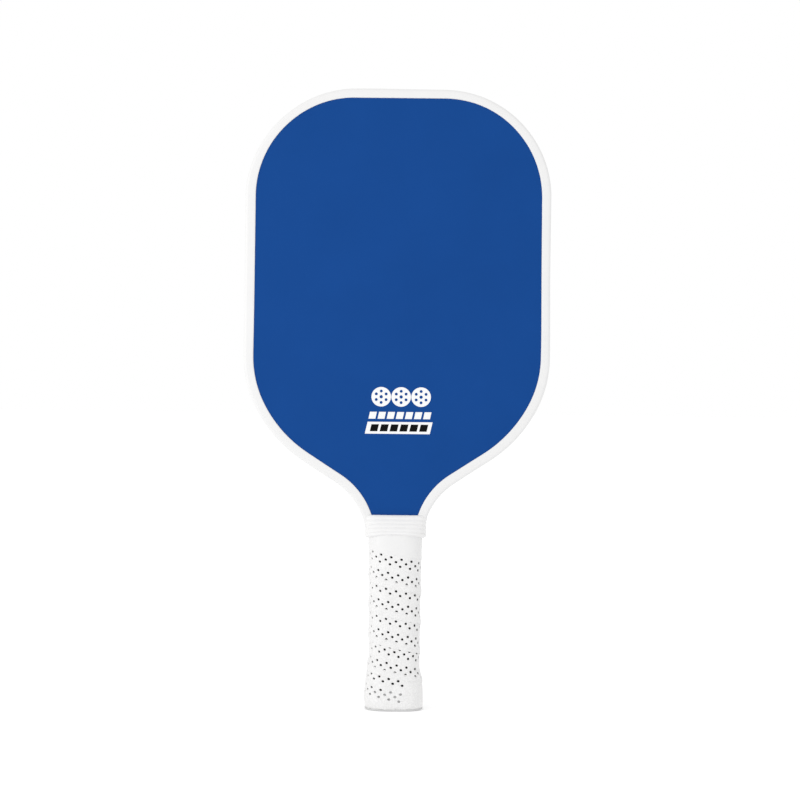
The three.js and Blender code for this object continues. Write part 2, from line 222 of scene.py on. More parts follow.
def blade_side(inset, bottom):
    """The right half of the blade's outline, moved inwards by inset, from the middle of the top
    down to the height bottom. Its number of points is the same for every inset."""
    here = np.array([0, LENGTH - inset], float)
    points = [here]
    heading = -90

    def inwards(angle):
        return np.array([-math.cos(math.radians(angle)), math.sin(math.radians(angle))])

    def straight(to, steps):
        start = points[-1]
        points.extend(lerp(start, np.array(to, float), (i + 1) / steps) for i in range(steps))

    def turn(new_heading, radius, steps):
        side = 1 if new_heading > heading else -1
        reach = side * (radius - side * inset)
        centre = points[-1] + inwards(heading) * reach
        for i in range(steps):
            angle = lerp(heading, new_heading, (i + 1) / steps)
            points.append(centre - inwards(angle) * reach)
        return new_heading

    straight((BLADE_HALF_WIDTH - CORNER_RADIUS, LENGTH - inset), 4)
    heading = turn(0, CORNER_RADIUS, 48)
    straight((BLADE_HALF_WIDTH - inset, SHOULDER_START), 12)
    heading = turn(SHOULDER_HEADING, SHOULDER_RADIUS, 16)
    heading = turn(FLANK_HEADING, FLANK_RADIUS, 18)
    slope = math.radians(FLANK_HEADING)
    straight(points[-1] - FLANK_STRAIGHT * np.array([math.sin(slope), math.cos(slope)]), 4)
    centre_z = points[-1][1] - (NECK_RADIUS + inset) * math.sin(slope)
    last = math.degrees(math.asin((bottom - centre_z) / (NECK_RADIUS + inset)))
    turn(last, NECK_RADIUS, 18)
    return np.array(points)


def blade_path(inset, bottom):
    """The whole outline from the left end of the neck over the top to the right end."""
    side = blade_side(inset, bottom)
    left = side[:0:-1] * np.array([-1, 1])
    return np.concatenate([left, side])


def arc(centre, radius, start, end, steps):
    """Points on an arc, from the angle start to the angle end, in degrees."""
    angles = np.radians(np.linspace(start, end, steps + 1))
    return [(centre[0] + radius * math.cos(a), centre[1] + radius * math.sin(a)) for a in angles]


# The guard's outside wall as (inset, y) points: flat, then leaning in a little before the corner.
GUARD_SIDE = [(0, 0), (0, 3), (0.04, 5)]
GUARD_CORNER = 1.9
LIP_EDGE = 0.55
LIP_FALL = 0.22
LIP_SINK = 0.02
LIP_MIDDLE = 3.5

# How far the guard leaves the even outline, outwards: (share of the way around from the left end to the
# right one, at the outer edge, at the front lip's edge). Set from measured differences between a render
# and the photo, so the rows describe that photo and have no other source.
STRAY = [
    (0, 0.3, 0.3), (0.03, 1.0, 0.6), (0.06, 1.1, 0.7), (0.12, 1.05, 0.55), (0.17, 0.65, 0),
    (0.23, 0.35, -0.4), (0.325, 0.45, -0.6), (0.365, -0.85, -0.8), (0.4, -1.2, -0.85),
    (0.44, -0.7, -0.55), (0.47, -0.1, -0.55), (0.54, -0.5, -0.5), (0.58, -0.1, 0.05),
    (0.66, 0.6, 0.2), (0.75, 0.3, 0.4), (0.79, 0.7, 0.7), (0.88, 0.9, 0.3), (0.93, 0.6, 0.2),
    (0.96, 1.0, 0.25), (1, 0.3, 0.25),
]
STRAY_BLUR = 0.012
STRAY_SAMPLES = 7


def guard_section():
    """The guard's section as (inset, y) points: a channel with rounded corners, and lips that thin
    towards their edges."""
    half = GUARD_SIDE + arc((GUARD_CORNER + 0.1, GUARD_Y - GUARD_CORNER), GUARD_CORNER, 180, 90, 8)
    lip_y = GUARD_Y - LIP_FALL
    half += [(lerp(GUARD_CORNER, GUARD_LIP, t), GUARD_Y - LIP_FALL * t * t) for t in (0.35, 0.6, 0.8)]
    half += arc((GUARD_LIP - LIP_EDGE, lip_y - LIP_EDGE), LIP_EDGE, 90, 0, 5)
    half += [(inset, FACE_Y - LIP_SINK) for inset in (GUARD_LIP, LIP_MIDDLE, GUARD_WALL)]
    return half + [(inset, -y) for inset, y in reversed(half[1:])]


def guard_rings(section, bottom):
    """The guard's section, carried along the outline and moved out by the stray there."""
    edge = blade_path(0, bottom)
    way = np.concatenate([[0], np.cumsum(np.hypot(*np.diff(edge, axis=0).T))])
    way /= way[-1]
    heading = np.gradient(edge, axis=0)
    heading /= np.hypot(*heading.T)[:, None]
    outwards = np.column_stack([-heading[:, 1], heading[:, 0]])

    shares, outer_stray, lip_stray = zip(*STRAY)

    def stray(amounts):
        steps = np.linspace(-1, 1, STRAY_SAMPLES) * STRAY_BLUR
        near = [np.interp(way + step, shares, amounts) for step in steps]
        return np.mean(near, axis=0)[:, None] * outwards

    outer, lip = stray(outer_stray), stray(lip_stray)
    lines = []
    for inset, y in section:
        share = smoothstep(GUARD_CORNER, GUARD_LIP, inset)
        path = blade_path(inset, bottom) + lerp(outer, lip if y < 0 else 0, share)
        lines.append(np.column_stack([path[:, 0], np.full(len(path), y), path[:, 1]]))
    return np.array(lines).transpose(1, 0, 2)


# --- Handle --------------------------------------------------------------------------------------

HANDLE_SHIFT = 0.57
DEPTH_RATIO = 0.84
SQUARENESS = 2.8
AROUND = 128
RING_ANGLES = np.arange(AROUND) / AROUND * TAU

# Half width of the plain wrapped grip at some heights, above the flare.
WAIST_Z = [0, 25, 36, 52, 72, 92, 104, 108, 130]
WAIST_HALF_WIDTH = [16.5, 16.6, 16.48, 16.7, 16.76, 17.0, 17.25, 17.45, 17.5]

# How far the grip widens over the cap. The strip eases over it on the left and drops off its
# shoulder at once on the right.
FLARE_Z = [0, 6, 12, 14, 16.5, 18.6, 20.5, 22.3, 25, 28, 32, 38]
FLARE_RIGHT = [2.6, 2.6, 2.45, 2.3, 1.85, 1.6, 1.5, 1.25, 0.35, 0, 0, 0]
FLARE_LEFT = [2.55, 2.55, 2.55, 2.51, 2.37, 2.15, 1.91, 1.65, 1.25, 0.83, 0.35, 0]
BUTT_ROUNDING = 2.2


def on_section(angle, half_width, depth=DEPTH_RATIO, squareness=SQUARENESS):
    """(x, y) on a rounded oblong. The angle runs from the right side over the front to the left."""
    c, s = np.cos(angle), np.sin(angle)
    stretch = (np.abs(c) ** squareness + np.abs(s) ** squareness) ** (-1 / squareness)
    return half_width * c * stretch, -half_width * s * stretch * depth


def skin_half_width(z, angle):
    """The plain grip surface."""
    right = (1 + np.cos(angle)) / 2
    flare = lerp(np.interp(z, FLARE_Z, FLARE_LEFT), np.interp(z, FLARE_Z, FLARE_RIGHT), right)
    return np.interp(z, WAIST_Z, WAIST_HALF_WIDTH) + flare


# The distance around the grip from its right side, at each angle.
MEAN_HALF_WIDTH = 17.1
table_angle = np.linspace(0, TAU, 2049)
table_xy = np.column_stack(on_section(table_angle, MEAN_HALF_WIDTH))
table_length = np.concatenate([[0], np.cumsum(np.hypot(*np.diff(table_xy, axis=0).T))])
GIRTH = table_length[-1]
FRONT = GIRTH / 4


def angle_at(u):
    """The angle of a point u millimetres around the grip from its right side."""
    turns = np.floor(u / GIRTH)
    return np.interp(u - turns * GIRTH, table_length, table_angle)


def on_grip(u, z, offset):
    """Points offset outwards from the plain grip surface."""
    angle = angle_at(u)
    x, y = on_section(angle, skin_half_width(z, angle) + offset)
    return np.column_stack([x + HANDLE_SHIFT, y, np.broadcast_to(z, x.shape)])


def ring(half_width, z):
    """One ring of points around the handle's axis."""
    x, y = on_section(RING_ANGLES, half_width)
    return np.column_stack([x + HANDLE_SHIFT, y, np.broadcast_to(z, x.shape)])


# --- Grip strip ----------------------------------------------------------------------------------

# The pitch, and below it the drift, the tilt, the side rise, the slip and the hole rows' spacing and
# offsets, came from a least-squares fit to the places of 129 holes in the photo, and so did
# HANDLE_SHIFT. They were not chosen by hand.
STRIP_PITCH = 19.394
STRIP_THICKNESS = 0.65
STRIP_LOW_AT_FRONT = 2.43
STRIP_BOTTOM = 1.0
STRIP_TOP = 116.5
STRIP_TURNS = 4.58
EDGE_SHARE = 0.5
EDGE_TAPER = 1.6
BRIDGE = 2.4
RIM_PRESS = 0.8

# Where the strip starts, and where it starts to lie on an earlier turn, in turns from the front.
STRIP_START = -1.06
WRAPPED_FROM = -0.03
WRAPPED_OVER = 6

# How the turns leave an even spiral: up or down at some turns, counted from the first pass over the
# front, and tilted down to the right.
DRIFT_TURNS = [-0.2, 0.2, 0.8, 1.2, 2, 3, 4]
DRIFT = [0.52, 0.52, -0.74, -0.74, 0.05, 0.24, -0.18]
TILT = -0.78
SIDE_RISE = 0.56
SETTLE = 5

# Where the strip's edges lie at some turns, measured across it. Set to match the photo.
LOW_TURNS = [-0.3, 0.3, 0.75, 0.9, 1.05, 1.2, 1.8, 2.2, 3, 4]
LOW_EDGE = [-2.2, -2.2, 1.2, 0.8, 0.15, 0, -0.15, -0.8, -0.65, -0.3]
HIGH_TURNS = [-0.3, 0.3, 0.86, 0.92, 1.25, 1.86, 1.92, 2.25, 3, 3.3, 3.45, 4]
HIGH_EDGE = [22.05, 22.05, 22.7, 23.8, 23.8, 22.7, 23.3, 23.2, 22.85, 22.85, 24.2, 24.2]

# Perforation: (height above the strip's lower edge, offset along it in holes) of each row, holes
# per turn, and how many holes the even count is off by at some turns.
HOLE_ROWS = [
    (4.2, 0.346), (6.571, -0.238), (8.942, 0.181),
    (14.711, 0), (17.082, -0.585), (19.453, -0.131),
]
HOLES_PER_TURN = 16
SLIP_TURNS = [-0.25, 0, 0.25, 1, 2, 3, 4]
SLIP = [-1.935, -1.185, -0.69, -0.619, -0.499, -0.523, -0.567]
FIRST_HOLE_TURN = -0.054
HOLE_ALONG = 0.94
HOLE_ACROSS = 0.77
HOLE_RIM = 0.22
HOLE_DIMPLE = 0.14

# The holes' shift to the right, their spread over the front, and their size by distance around the
# grip from the middle of the front. Set from measured differences between a render and the
# photo: real holes are surely all one size.
HOLE_SHIFT = 0.43
HOLE_SPREAD = 0.56
HOLE_SIZE_AT = [-24, -14, -5, 8, 17, 24]
HOLE_SIZE = [1.2, 1.13, 0.98, 0.97, 0.86, 0.84]
HOLE_SIDES = 14
GRID_STEP = 1.35
GRID_LINES = 19
GRID_MARGIN = 0.5
HOLE_CLEARANCE = 0.3

slope = math.atan(STRIP_PITCH / GIRTH)
along = np.array([math.cos(slope), math.sin(slope)])
across = np.array([-math.sin(slope), math.cos(slope)])
strip_origin = np.array([FRONT, STRIP_LOW_AT_FRONT])
turn_length = GIRTH / math.cos(slope)


def strip_place(points):
    """(along, across) of (u, z) points, measured from the strip's lower edge at the front."""
    away = np.asarray(points) - strip_origin
    return away @ along, away @ across


def edge_thickness(from_edge):
    share = EDGE_SHARE + (1 - EDGE_SHARE) * smoothstep(0, EDGE_TAPER, from_edge)
    return STRIP_THICKNESS * share


def drift(u):
    return np.interp((u - FRONT) / GIRTH, DRIFT_TURNS, DRIFT)


def tilt(u):
    cosine = np.cos(angle_at(u))
    return TILT * cosine + SIDE_RISE * cosine ** 2


def low_edge_at(s):
    return np.interp(s / turn_length, LOW_TURNS, LOW_EDGE)


def high_edge_at(s):
    return np.interp(s / turn_length, HIGH_TURNS, HIGH_EDGE)


def strip_lift(u, s, w):
    """How far the turn underneath lifts the strip."""
    below = w + (STRIP_PITCH + drift(u) - drift(u - GIRTH)) * math.cos(slope)
    beyond = below - high_edge_at(s - GIRTH * math.cos(slope))
    under = edge_thickness(np.maximum(-beyond, 0))
    ramp = EDGE_SHARE * STRIP_THICKNESS * (1 - smoothstep(0, BRIDGE, beyond))
    is_wrapped = smoothstep(0, WRAPPED_OVER, s - WRAPPED_FROM * turn_length)
    return np.where(beyond < 0, under, ramp) * is_wrapped


def butt_rounding(z):
    """The strip's lowest edge is pressed in round the cap."""
    t = np.clip((STRIP_BOTTOM + BUTT_ROUNDING - z) / BUTT_ROUNDING, 0, 1)
    return -RIM_PRESS * (1 - np.sqrt(np.maximum(1 - t * t, 0)))


def strip_outline(s_line):
    """The strip's outline, unrolled in (u, z): cut level at the butt and at the collar."""
    middle = strip_origin + s_line[:, None] * along
    low_edge = middle + low_edge_at(s_line)[:, None] * across
    high_edge = middle + high_edge_at(s_line)[:, None] * across
    rises = low_edge[:, 1] > STRIP_BOTTOM
    first_low = np.argmax(rises)
    before, after = low_edge[first_low - 1:first_low + 1]
    cut = lerp(before, after, (STRIP_BOTTOM - before[1]) / (after[1] - before[1]))
    rim_count = int((cut[0] - high_edge[0, 0]) / GRID_STEP)
    rim_u = np.linspace(high_edge[0, 0] + 3, cut[0], rim_count + 1)
    rim = np.column_stack([rim_u, np.full(len(rim_u), STRIP_BOTTOM)])
    start_edge = lerp(high_edge[0], rim[0], np.linspace(0, 1, 8)[1:-1, None])
    end_edge = lerp(low_edge[-1], high_edge[-1], np.linspace(0, 1, 18)[1:-1, None])
    outline = np.concatenate([rim, low_edge[first_low:], end_edge, high_edge[::-1], start_edge])
    outline[:, 1] = np.minimum(outline[:, 1], STRIP_TOP)
    return outline


def hole_centres(end):
    """The middle of every hole, unrolled in (u, z), and its size."""
    turns = np.linspace(-0.6, STRIP_TURNS + 0.2, 2000)
    count = HOLES_PER_TURN * turns + np.interp(turns, SLIP_TURNS, SLIP)
    centres = []
    for w, phase in HOLE_ROWS:
        places = np.interp(np.arange(-3, count[-1] - 1) + phase, count, turns)
        places = places[places > FIRST_HOLE_TURN]
        places = places + (HOLE_SPREAD * np.sin(TAU * places) - HOLE_SHIFT) / GIRTH
        z = STRIP_LOW_AT_FRONT + STRIP_PITCH * places + w / math.cos(slope)
        centres.append(np.column_stack([FRONT + GIRTH * places, z]))
    centres = np.concatenate(centres)
    centres = centres[(centres[:, 1] < STRIP_TOP - 2) & (strip_place(centres)[0] < end - 4)]
    from_front = centres[:, 0] - FRONT
    from_front = from_front - GIRTH * np.round(from_front / GIRTH)
    return centres, np.interp(from_front, HOLE_SIZE_AT, HOLE_SIZE)


def strip_grid(s_line, outline, centres, sizes):
    """Points spread over the strip, clear of its holes, so that it can bend."""
    shares = np.linspace(0, 1, GRID_LINES)[1:-1]
    s_grid, share_grid = np.meshgrid(s_line[1:-1], shares)
    s_grid = s_grid + (np.arange(len(shares)) % 2)[:, None] * GRID_STEP / 2
    w_grid = lerp(low_edge_at(s_grid), high_edge_at(s_grid), share_grid)
    grid = strip_origin + s_grid.reshape(-1, 1) * along + w_grid.reshape(-1, 1) * across
    low, high = STRIP_BOTTOM + GRID_MARGIN, STRIP_TOP - GRID_MARGIN
    grid = grid[(grid[:, 1] > low) & (grid[:, 1] < high)]
    grid = grid[inside(grid, outline)]
    clear = np.ones(len(grid), bool)
    for centre, size in zip(centres, sizes):
        reach = (HOLE_ALONG + HOLE_RIM) * size + HOLE_CLEARANCE
        clear &= ((grid - centre) ** 2).sum(axis=1) > reach ** 2
    return grid[clear]


def strip_surface(points, level, sink=0):
    """Points on the wound strip. level is 0 at its inner face and 1 at its outer one."""
    s, w = strip_place(points)
    edge = np.minimum(w - low_edge_at(s), high_edge_at(s) - w)
    thickness = edge_thickness(np.maximum(edge, 0))
    u, z = points.T
    offset = strip_lift(u, s, w) - STRIP_THICKNESS + level * thickness - sink
    settled = smoothstep(STRIP_BOTTOM, STRIP_BOTTOM + SETTLE, z) * (drift(u) + tilt(u))
    return on_grip(u, z + settled, offset + butt_rounding(z))


def grip_strip():
    start, end = STRIP_START * turn_length, STRIP_TURNS * turn_length
    s_line = np.linspace(start, end, int((end - start) / GRID_STEP) + 1)
    outline = strip_outline(s_line)
    centres, sizes = hole_centres(end)
    turn_angles = np.arange(HOLE_SIDES) / HOLE_SIDES * TAU
    cosines, sines = np.cos(turn_angles)[:, None], np.sin(turn_angles)[:, None]
    opening = HOLE_ALONG * cosines * along + HOLE_ACROSS * sines * across
    rounded = (HOLE_ALONG + HOLE_RIM) * cosines * along + (HOLE_ACROSS + HOLE_RIM) * sines * across
    rims = [centre + rounded * size for centre, size in zip(centres, sizes)]

    flat, triangles, rings = fill(outline, rims, strip_grid(s_line, outline, centres, sizes))
    count = len(flat)
    vertices = [strip_surface(flat, 1), strip_surface(flat, 0)]
    faces = triangles.tolist() + (triangles[:, ::-1] + count).tolist()
    in_ring = set()
    total = 2 * count
    for centre, size, outer in zip(centres, sizes, rings):
        in_ring.update(outer)
        bore = centre + opening * size
        vertices += [strip_surface(bore, 1, HOLE_DIMPLE), strip_surface(bore, 0)]
        loops = [outer,
                 list(range(total, total + HOLE_SIDES)),
                 list(range(total + HOLE_SIDES, total + 2 * HOLE_SIDES)),
                 [i + count for i in outer]]
        total += 2 * HOLE_SIDES
        for upper, lower in zip(loops, loops[1:]):
            for i in range(HOLE_SIDES):
                j = (i + 1) % HOLE_SIDES
                faces.append([upper[i], upper[j], lower[j], lower[i]])
    for a, b in border_edges(triangles.tolist()):
        if not (a in in_ring and b in in_ring):
            faces.append([a, b, b + count, a + count])
    return np.concatenate(vertices), faces


# --- Finishing tape ------------------------------------------------------------------------------

TAPE_LOW_AT_FRONT = 101.5
TAPE_RISE = 14
TAPE_TOP = 116.4
TAPE_THICKNESS = 0.28
TAPE_START = -GIRTH / 2 - 4
TAPE_END_GAP = 0.3
TAPE_SAG = 0.16
TAPE_SINK = 0.1
TAPE_EDGE_SHARE = 0.55


def finishing_tape():
    u = np.linspace(TAPE_START, TAPE_START + GIRTH - TAPE_END_GAP, 150)
    low = TAPE_LOW_AT_FRONT + TAPE_RISE * u / GIRTH + tilt(u + FRONT)
    low = np.minimum(low, TAPE_TOP - 2)
    shares = np.concatenate([[0, 0.03, 0.08], np.linspace(0.15, 1, 14)])
    outer, inner = [], []
    for share in shares:
        z = lerp(low, TAPE_TOP, share)
        above_strip = z - (STRIP_LOW_AT_FRONT + 4 * STRIP_PITCH + HIGH_EDGE[-1] / math.cos(slope)
                           + STRIP_PITCH * u / GIRTH)
        sag = -TAPE_SAG * smoothstep(-0.5, 2.5, above_strip)
        edge = TAPE_THICKNESS * lerp(TAPE_EDGE_SHARE, 1, smoothstep(0, 0.08, share))
        outer.append(on_grip(u + FRONT, z, edge + sag))
        inner.append(on_grip(u + FRONT, z, sag - TAPE_SINK))
    return sheet_solid(np.array(outer), np.array(inner))


# --- Collar --------------------------------------------------------------------------------------

COLLAR_LOW_SIDE = 112.4
COLLAR_LOW_FRONT = 114.8
COLLAR_HIGH_SIDE = 125.8
COLLAR_HIGH_FRONT = 127.1
# The collar's half width at some shares of its height.
COLLAR_SHARES = [0, 0.03, 0.07, 0.12, 0.6, 0.82, 1]
COLLAR_HALF_WIDTHS = [18.9, 19.55, 19.95, 20.1, 20.1, 20.3, 20.9]
# Half depths, and how square the section is at the top. The seat takes the blade's neck.
COLLAR_LOW_DEPTH = 16.5
COLLAR_HIGH_DEPTH = 10.3
COLLAR_TOP_SQUARENESS = 4.6
COLLAR_RIBS = 5
COLLAR_GROOVE = 0.38
SEAT_HALF_WIDTH = 19.6
SEAT_DEPTH = 7.0
SEAT_SQUARENESS = 9


def collar_ring(share, inwards, height_step=0.0):
    half_width = np.interp(share, COLLAR_SHARES, COLLAR_HALF_WIDTHS)
    depth = lerp(COLLAR_LOW_DEPTH, COLLAR_HIGH_DEPTH, share ** 1.15)
    depth -= COLLAR_HALF_WIDTHS[3] - min(half_width, COLLAR_HALF_WIDTHS[3])
    squareness = lerp(SQUARENESS, COLLAR_TOP_SQUARENESS, share)
    across_half = half_width - inwards
    x, y = on_section(RING_ANGLES, across_half, (depth - inwards) / across_half, squareness)
    sideways = np.abs(x) / across_half
    low = lerp(COLLAR_LOW_FRONT, COLLAR_LOW_SIDE, sideways ** 2.2)
    high = lerp(COLLAR_HIGH_FRONT, COLLAR_HIGH_SIDE, smoothstep(0.8, 1, sideways))
    return np.column_stack([x + HANDLE_SHIFT, y, lerp(low, high, share) + height_step])


def collar_rings():
    rings = [collar_ring(0, 1.35), collar_ring(0, 0.7), collar_ring(0, 0.3, 0.08)]
    per_rib = 10
    for step in range(1, COLLAR_RIBS * per_rib):
        share = step / (COLLAR_RIBS * per_rib)
        bulge = abs(math.sin(math.pi * step / per_rib)) ** 0.6
        rings.append(collar_ring(share, COLLAR_GROOVE * (1 - bulge)))
    for turn_in in (0.25, 0.6, 0.9, 1):
        rings.append(collar_ring(1, 0.35 + 1.1 * turn_in ** 2, 0.3 * turn_in))
    seat_x, seat_y = on_section(RING_ANGLES, SEAT_HALF_WIDTH, SEAT_DEPTH / SEAT_HALF_WIDTH, SEAT_SQUARENESS)
    seat_x = seat_x + HANDLE_SHIFT
    top = collar_ring(1, 0)[:, 2]
    rings.append(np.column_stack([seat_x, seat_y, top + 0.2]))
    rings.append(np.column_stack([seat_x, seat_y, top - 2.5]))
    rings.append(collar_ring(0.6, 1.5))
    return rings


# --- Butt cap, badge and backing -----------------------------------------------------------------

# The cap and the backing are set so that the lowest holes and the rim look as grey as in the photo: the
# backing ends above them, and the cap is light grey though its slot is named cap_white.
# The cap's light grey is painted shade: it stands for the shade on its rim and at the bottom of the lowest
# holes.
CUSHION_LOW = 13.5
CUSHION_HIGH = 117
CUSHION_THICKNESS = 0.95
CUSHION_GAP = 0.03
SKIRT_GAP = 0.06
SKIRT_SINK = 0.5


def plain_rings(profile):
    return [ring(half_width, z) for half_width, z in profile]


def cap_rings():
    def skirt(z):
        """A ring under the strip, sunk deeper where no backing covers it."""
        sink = SKIRT_SINK if z < CUSHION_LOW else 0
        return ring(skin_half_width(z, RING_ANGLES) - (STRIP_THICKNESS + SKIRT_GAP) - sink, z)

    foot = [(10.9, 1.0), (11.3, 0.95), (11.42, 0.8), (11.5, 0.25), (11.75, 0.0), (17.6, 0.0)]
    flange = [(17.6 + 1.25 * math.sin(t), 0.55 - 0.55 * math.cos(t))
              for t in np.linspace(0.3, math.pi / 2, 5)]
    flange += [(18.95, 0.95), (18.8, 1.2), (18.4, 1.32), (17.7, 1.34)]
    rings = plain_rings(foot + flange)
    rings += [skirt(z) for z in (1.36, 2.6, 5, 8, 11, 13.3, 13.7, 15.5)]
    rings += plain_rings([(17.3, 18), (16.2, 21), (15.05, 21), (15.05, 4), (10.9, 4)])
    return rings


def badge_rings():
    edge = [(0.6, 0.62), (5.2, 0.62), (5.5, 0.42), (5.8, 0.42), (6.1, 0.62), (9.6, 0.62)]
    edge += [(10.3, 0.45), (10.75, 0.2), (11.0, 0.45), (11.0, 0.75), (0.6, 0.75)]
    return plain_rings(edge)


def cushion_rings():
    rings = []
    heights = np.linspace(CUSHION_LOW, CUSHION_HIGH, 60)
    gap = STRIP_THICKNESS + CUSHION_GAP
    for z in heights:
        rings.append(ring(skin_half_width(z, RING_ANGLES) - gap, z))
    for z in heights[::-1]:
        rings.append(ring(skin_half_width(z, RING_ANGLES) - gap - CUSHION_THICKNESS, z))
    return rings


# --- Honeycomb core ------------------------------------------------------------------------------

CELL_PITCH = 8
CELL_WALL = 0.7
CORE_HALF = 6.5
CORE_RIM = 1.2
TONGUE_HALF_WIDTH = 12.5
TONGUE_END = 6
WALL_GAP = 0.25


def panel_outline():
    side = blade_side(GUARD_WALL + WALL_GAP, GUARD_END)[::3]
    side = np.concatenate([side, [(TONGUE_HALF_WIDTH, GUARD_END), (TONGUE_HALF_WIDTH, TONGUE_END)]])
    left = side[:0:-1] * np.array([-1, 1])
    return np.concatenate([left, side])


def core_cells():
    outline = panel_outline()
    radius = (CELL_PITCH - CELL_WALL) / math.sqrt(3)
    angles = np.radians(np.arange(6) * 60 + 30)
    hexagon = radius * np.column_stack([np.cos(angles), np.sin(angles)])
    edges = np.concatenate([lerp(a, b, np.linspace(0, 1, 20)[:, None])
                            for a, b in zip(outline, np.roll(outline, -1, axis=0))])
    cells = []
    row_height = CELL_PITCH * math.sqrt(3) / 2
    columns = int(BLADE_HALF_WIDTH / CELL_PITCH) + 1
    for row in range(int(LENGTH / row_height)):
        for column in range(-columns, columns + 1):
            centre = np.array([(column + row % 2 / 2) * CELL_PITCH, row * row_height])
            room = np.sqrt(((edges - centre) ** 2).sum(axis=1)).min()
            if room > radius + CORE_RIM and inside(centre[None], outline)[0]:
                cells.append(centre + hexagon)
    return prism(outline, cells, -CORE_HALF, CORE_HALF)


# --- Materials -----------------------------------------------------------------------------------

# A Mix node's colour sockets. Its number and vector sockets have the same names, so these go by place.
MIX_A, MIX_B, MIX_RESULT = 6, 7, 2


class Looks:
    """A procedural material, made of nodes on a Principled shader."""

    def __init__(self, name, roughness=0.5, metallic=0.0, specular=0.5):
        self.material = bpy.data.materials.new(name)
        self.material.use_nodes = True
        tree = self.material.node_tree
        self.nodes, self.links = tree.nodes, tree.links
        self.shader = self.nodes["Principled BSDF"]
        self.shader.inputs["Roughness"].default_value = roughness
        self.shader.inputs["Metallic"].default_value = metallic
        self.shader.inputs["Specular IOR Level"].default_value = specular
        self.place = self.nodes.new("ShaderNodeTexCoord").outputs["Object"]
        self.height = None

    def scaled(self, stretch):
        """The place, stretched by a factor along each axis."""
        node = self.nodes.new("ShaderNodeMapping")
        node.inputs["Scale"].default_value = stretch
        self.links.new(self.place, node.inputs["Vector"])
        return node.outputs["Vector"]

    def noise(self, size, detail=3, stretch=(1, 1, 1)):
        """Noise from 0 to 1 with features about size millimetres across."""
        node = self.nodes.new("ShaderNodeTexNoise")
        node.inputs["Scale"].default_value = 1 / (size * MM)
        node.inputs["Detail"].default_value = detail
        self.links.new(self.scaled(stretch), node.inputs["Vector"])
        return node.outputs["Fac"]

    def cells(self, size):
        """The distance to the middle of the nearest cell, with cells about size millimetres across."""
        node = self.nodes.new("ShaderNodeTexVoronoi")
        node.inputs["Scale"].default_value = 1 / (size * MM)
        self.links.new(self.place, node.inputs["Vector"])
        return node.outputs["Distance"]

    def bands(self, pitch, direction, distortion):
        """Soft bands, pitch millimetres apart."""
        node = self.nodes.new("ShaderNodeTexWave")
        node.bands_direction = direction
        node.inputs["Scale"].default_value = TAU / 20 / (pitch * MM)
        node.inputs["Distortion"].default_value = distortion
        self.links.new(self.place, node.inputs["Vector"])
        return node.outputs["Fac"]

    def math(self, operation, a, b):
        node = self.nodes.new("ShaderNodeMath")
        node.operation = operation
        for socket, value in zip(node.inputs, (a, b)):
            if isinstance(value, (int, float)):
                socket.default_value = value
            else:
                self.links.new(value, socket)
        return node.outputs["Value"]

    def between(self, value, low, high):
        """The middle range of a noise, spread over low to high."""
        node = self.nodes.new("ShaderNodeMapRange")
        node.inputs["From Min"].default_value = 0.3
        node.inputs["From Max"].default_value = 0.7
        node.inputs["To Min"].default_value = low
        node.inputs["To Max"].default_value = high
        self.links.new(value, node.inputs["Value"])
        return node.outputs["Result"]

    def colour(self, light, dark, value):
        node = self.nodes.new("ShaderNodeMix")
        node.data_type = "RGBA"
        self.links.new(self.between(value, 0, 1), node.inputs["Factor"])
        node.inputs[MIX_A].default_value = (*dark, 1)
        node.inputs[MIX_B].default_value = (*light, 1)
        self.links.new(node.outputs[MIX_RESULT], self.shader.inputs["Base Color"])

    def rough(self, value, low, high):
        self.links.new(self.between(value, low, high), self.shader.inputs["Roughness"])

    def bump(self, value, height):
        """Raises the surface by value times height, in millimetres, on top of earlier bumps."""
        node = self.nodes.new("ShaderNodeBump")
        node.inputs["Strength"].default_value = 1
        node.inputs["Distance"].default_value = height * MM
        self.links.new(value, node.inputs["Height"])
        if self.height:
            self.links.new(self.height, node.inputs["Normal"])
        self.height = node.outputs["Normal"]
        self.links.new(self.height, self.shader.inputs["Normal"])
        return self


def grey(value):
    return (value, value, value)


def tinted(value, warm):
    """A grey that is a little warmer (warm above 0) or cooler."""
    return (value * (1 + warm), value, value * (1 - warm))


def face_material():
    looks = Looks("satin_blue_laminate", specular=0.08)
    clouds = looks.noise(38, detail=4)
    looks.colour((0.0041, 0.0560, 0.247), (0.0036, 0.0530, 0.235), clouds)
    looks.rough(looks.noise(9, detail=5), 0.46, 0.58)
    weave = looks.math("MULTIPLY", looks.bands(1.4, "X", 0.6), looks.bands(1.4, "Z", 0.6))
    looks.bump(weave, 0.012)
    return looks.bump(looks.noise(0.5, detail=2), 0.012).material


def guard_material():
    looks = Looks("satin_white_guard", specular=0.4)
    looks.colour(tinted(0.765, 0.002), tinted(0.75, 0.004), looks.noise(24, detail=4))
    looks.rough(looks.noise(6, detail=4), 0.36, 0.5)
    return looks.bump(looks.noise(0.9, detail=3), 0.021).material


def grip_material():
    looks = Looks("matt_white_grip_skin", specular=0.3)
    grain = looks.math("ADD", looks.math("MULTIPLY", looks.noise(0.9, detail=2), 0.75),
                       looks.math("MULTIPLY", looks.noise(7, detail=5), 0.25))
    looks.colour(tinted(0.840, 0.003), tinted(0.712, 0.006), grain)
    looks.rough(looks.noise(2.5, detail=4), 0.55, 0.72)
    looks.bump(looks.cells(0.8), 0.115)
    looks.bump(looks.noise(1.1, detail=3, stretch=(1, 1, 1.6)), 0.135)
    return looks.bump(looks.noise(3.4, detail=3), 0.09).material


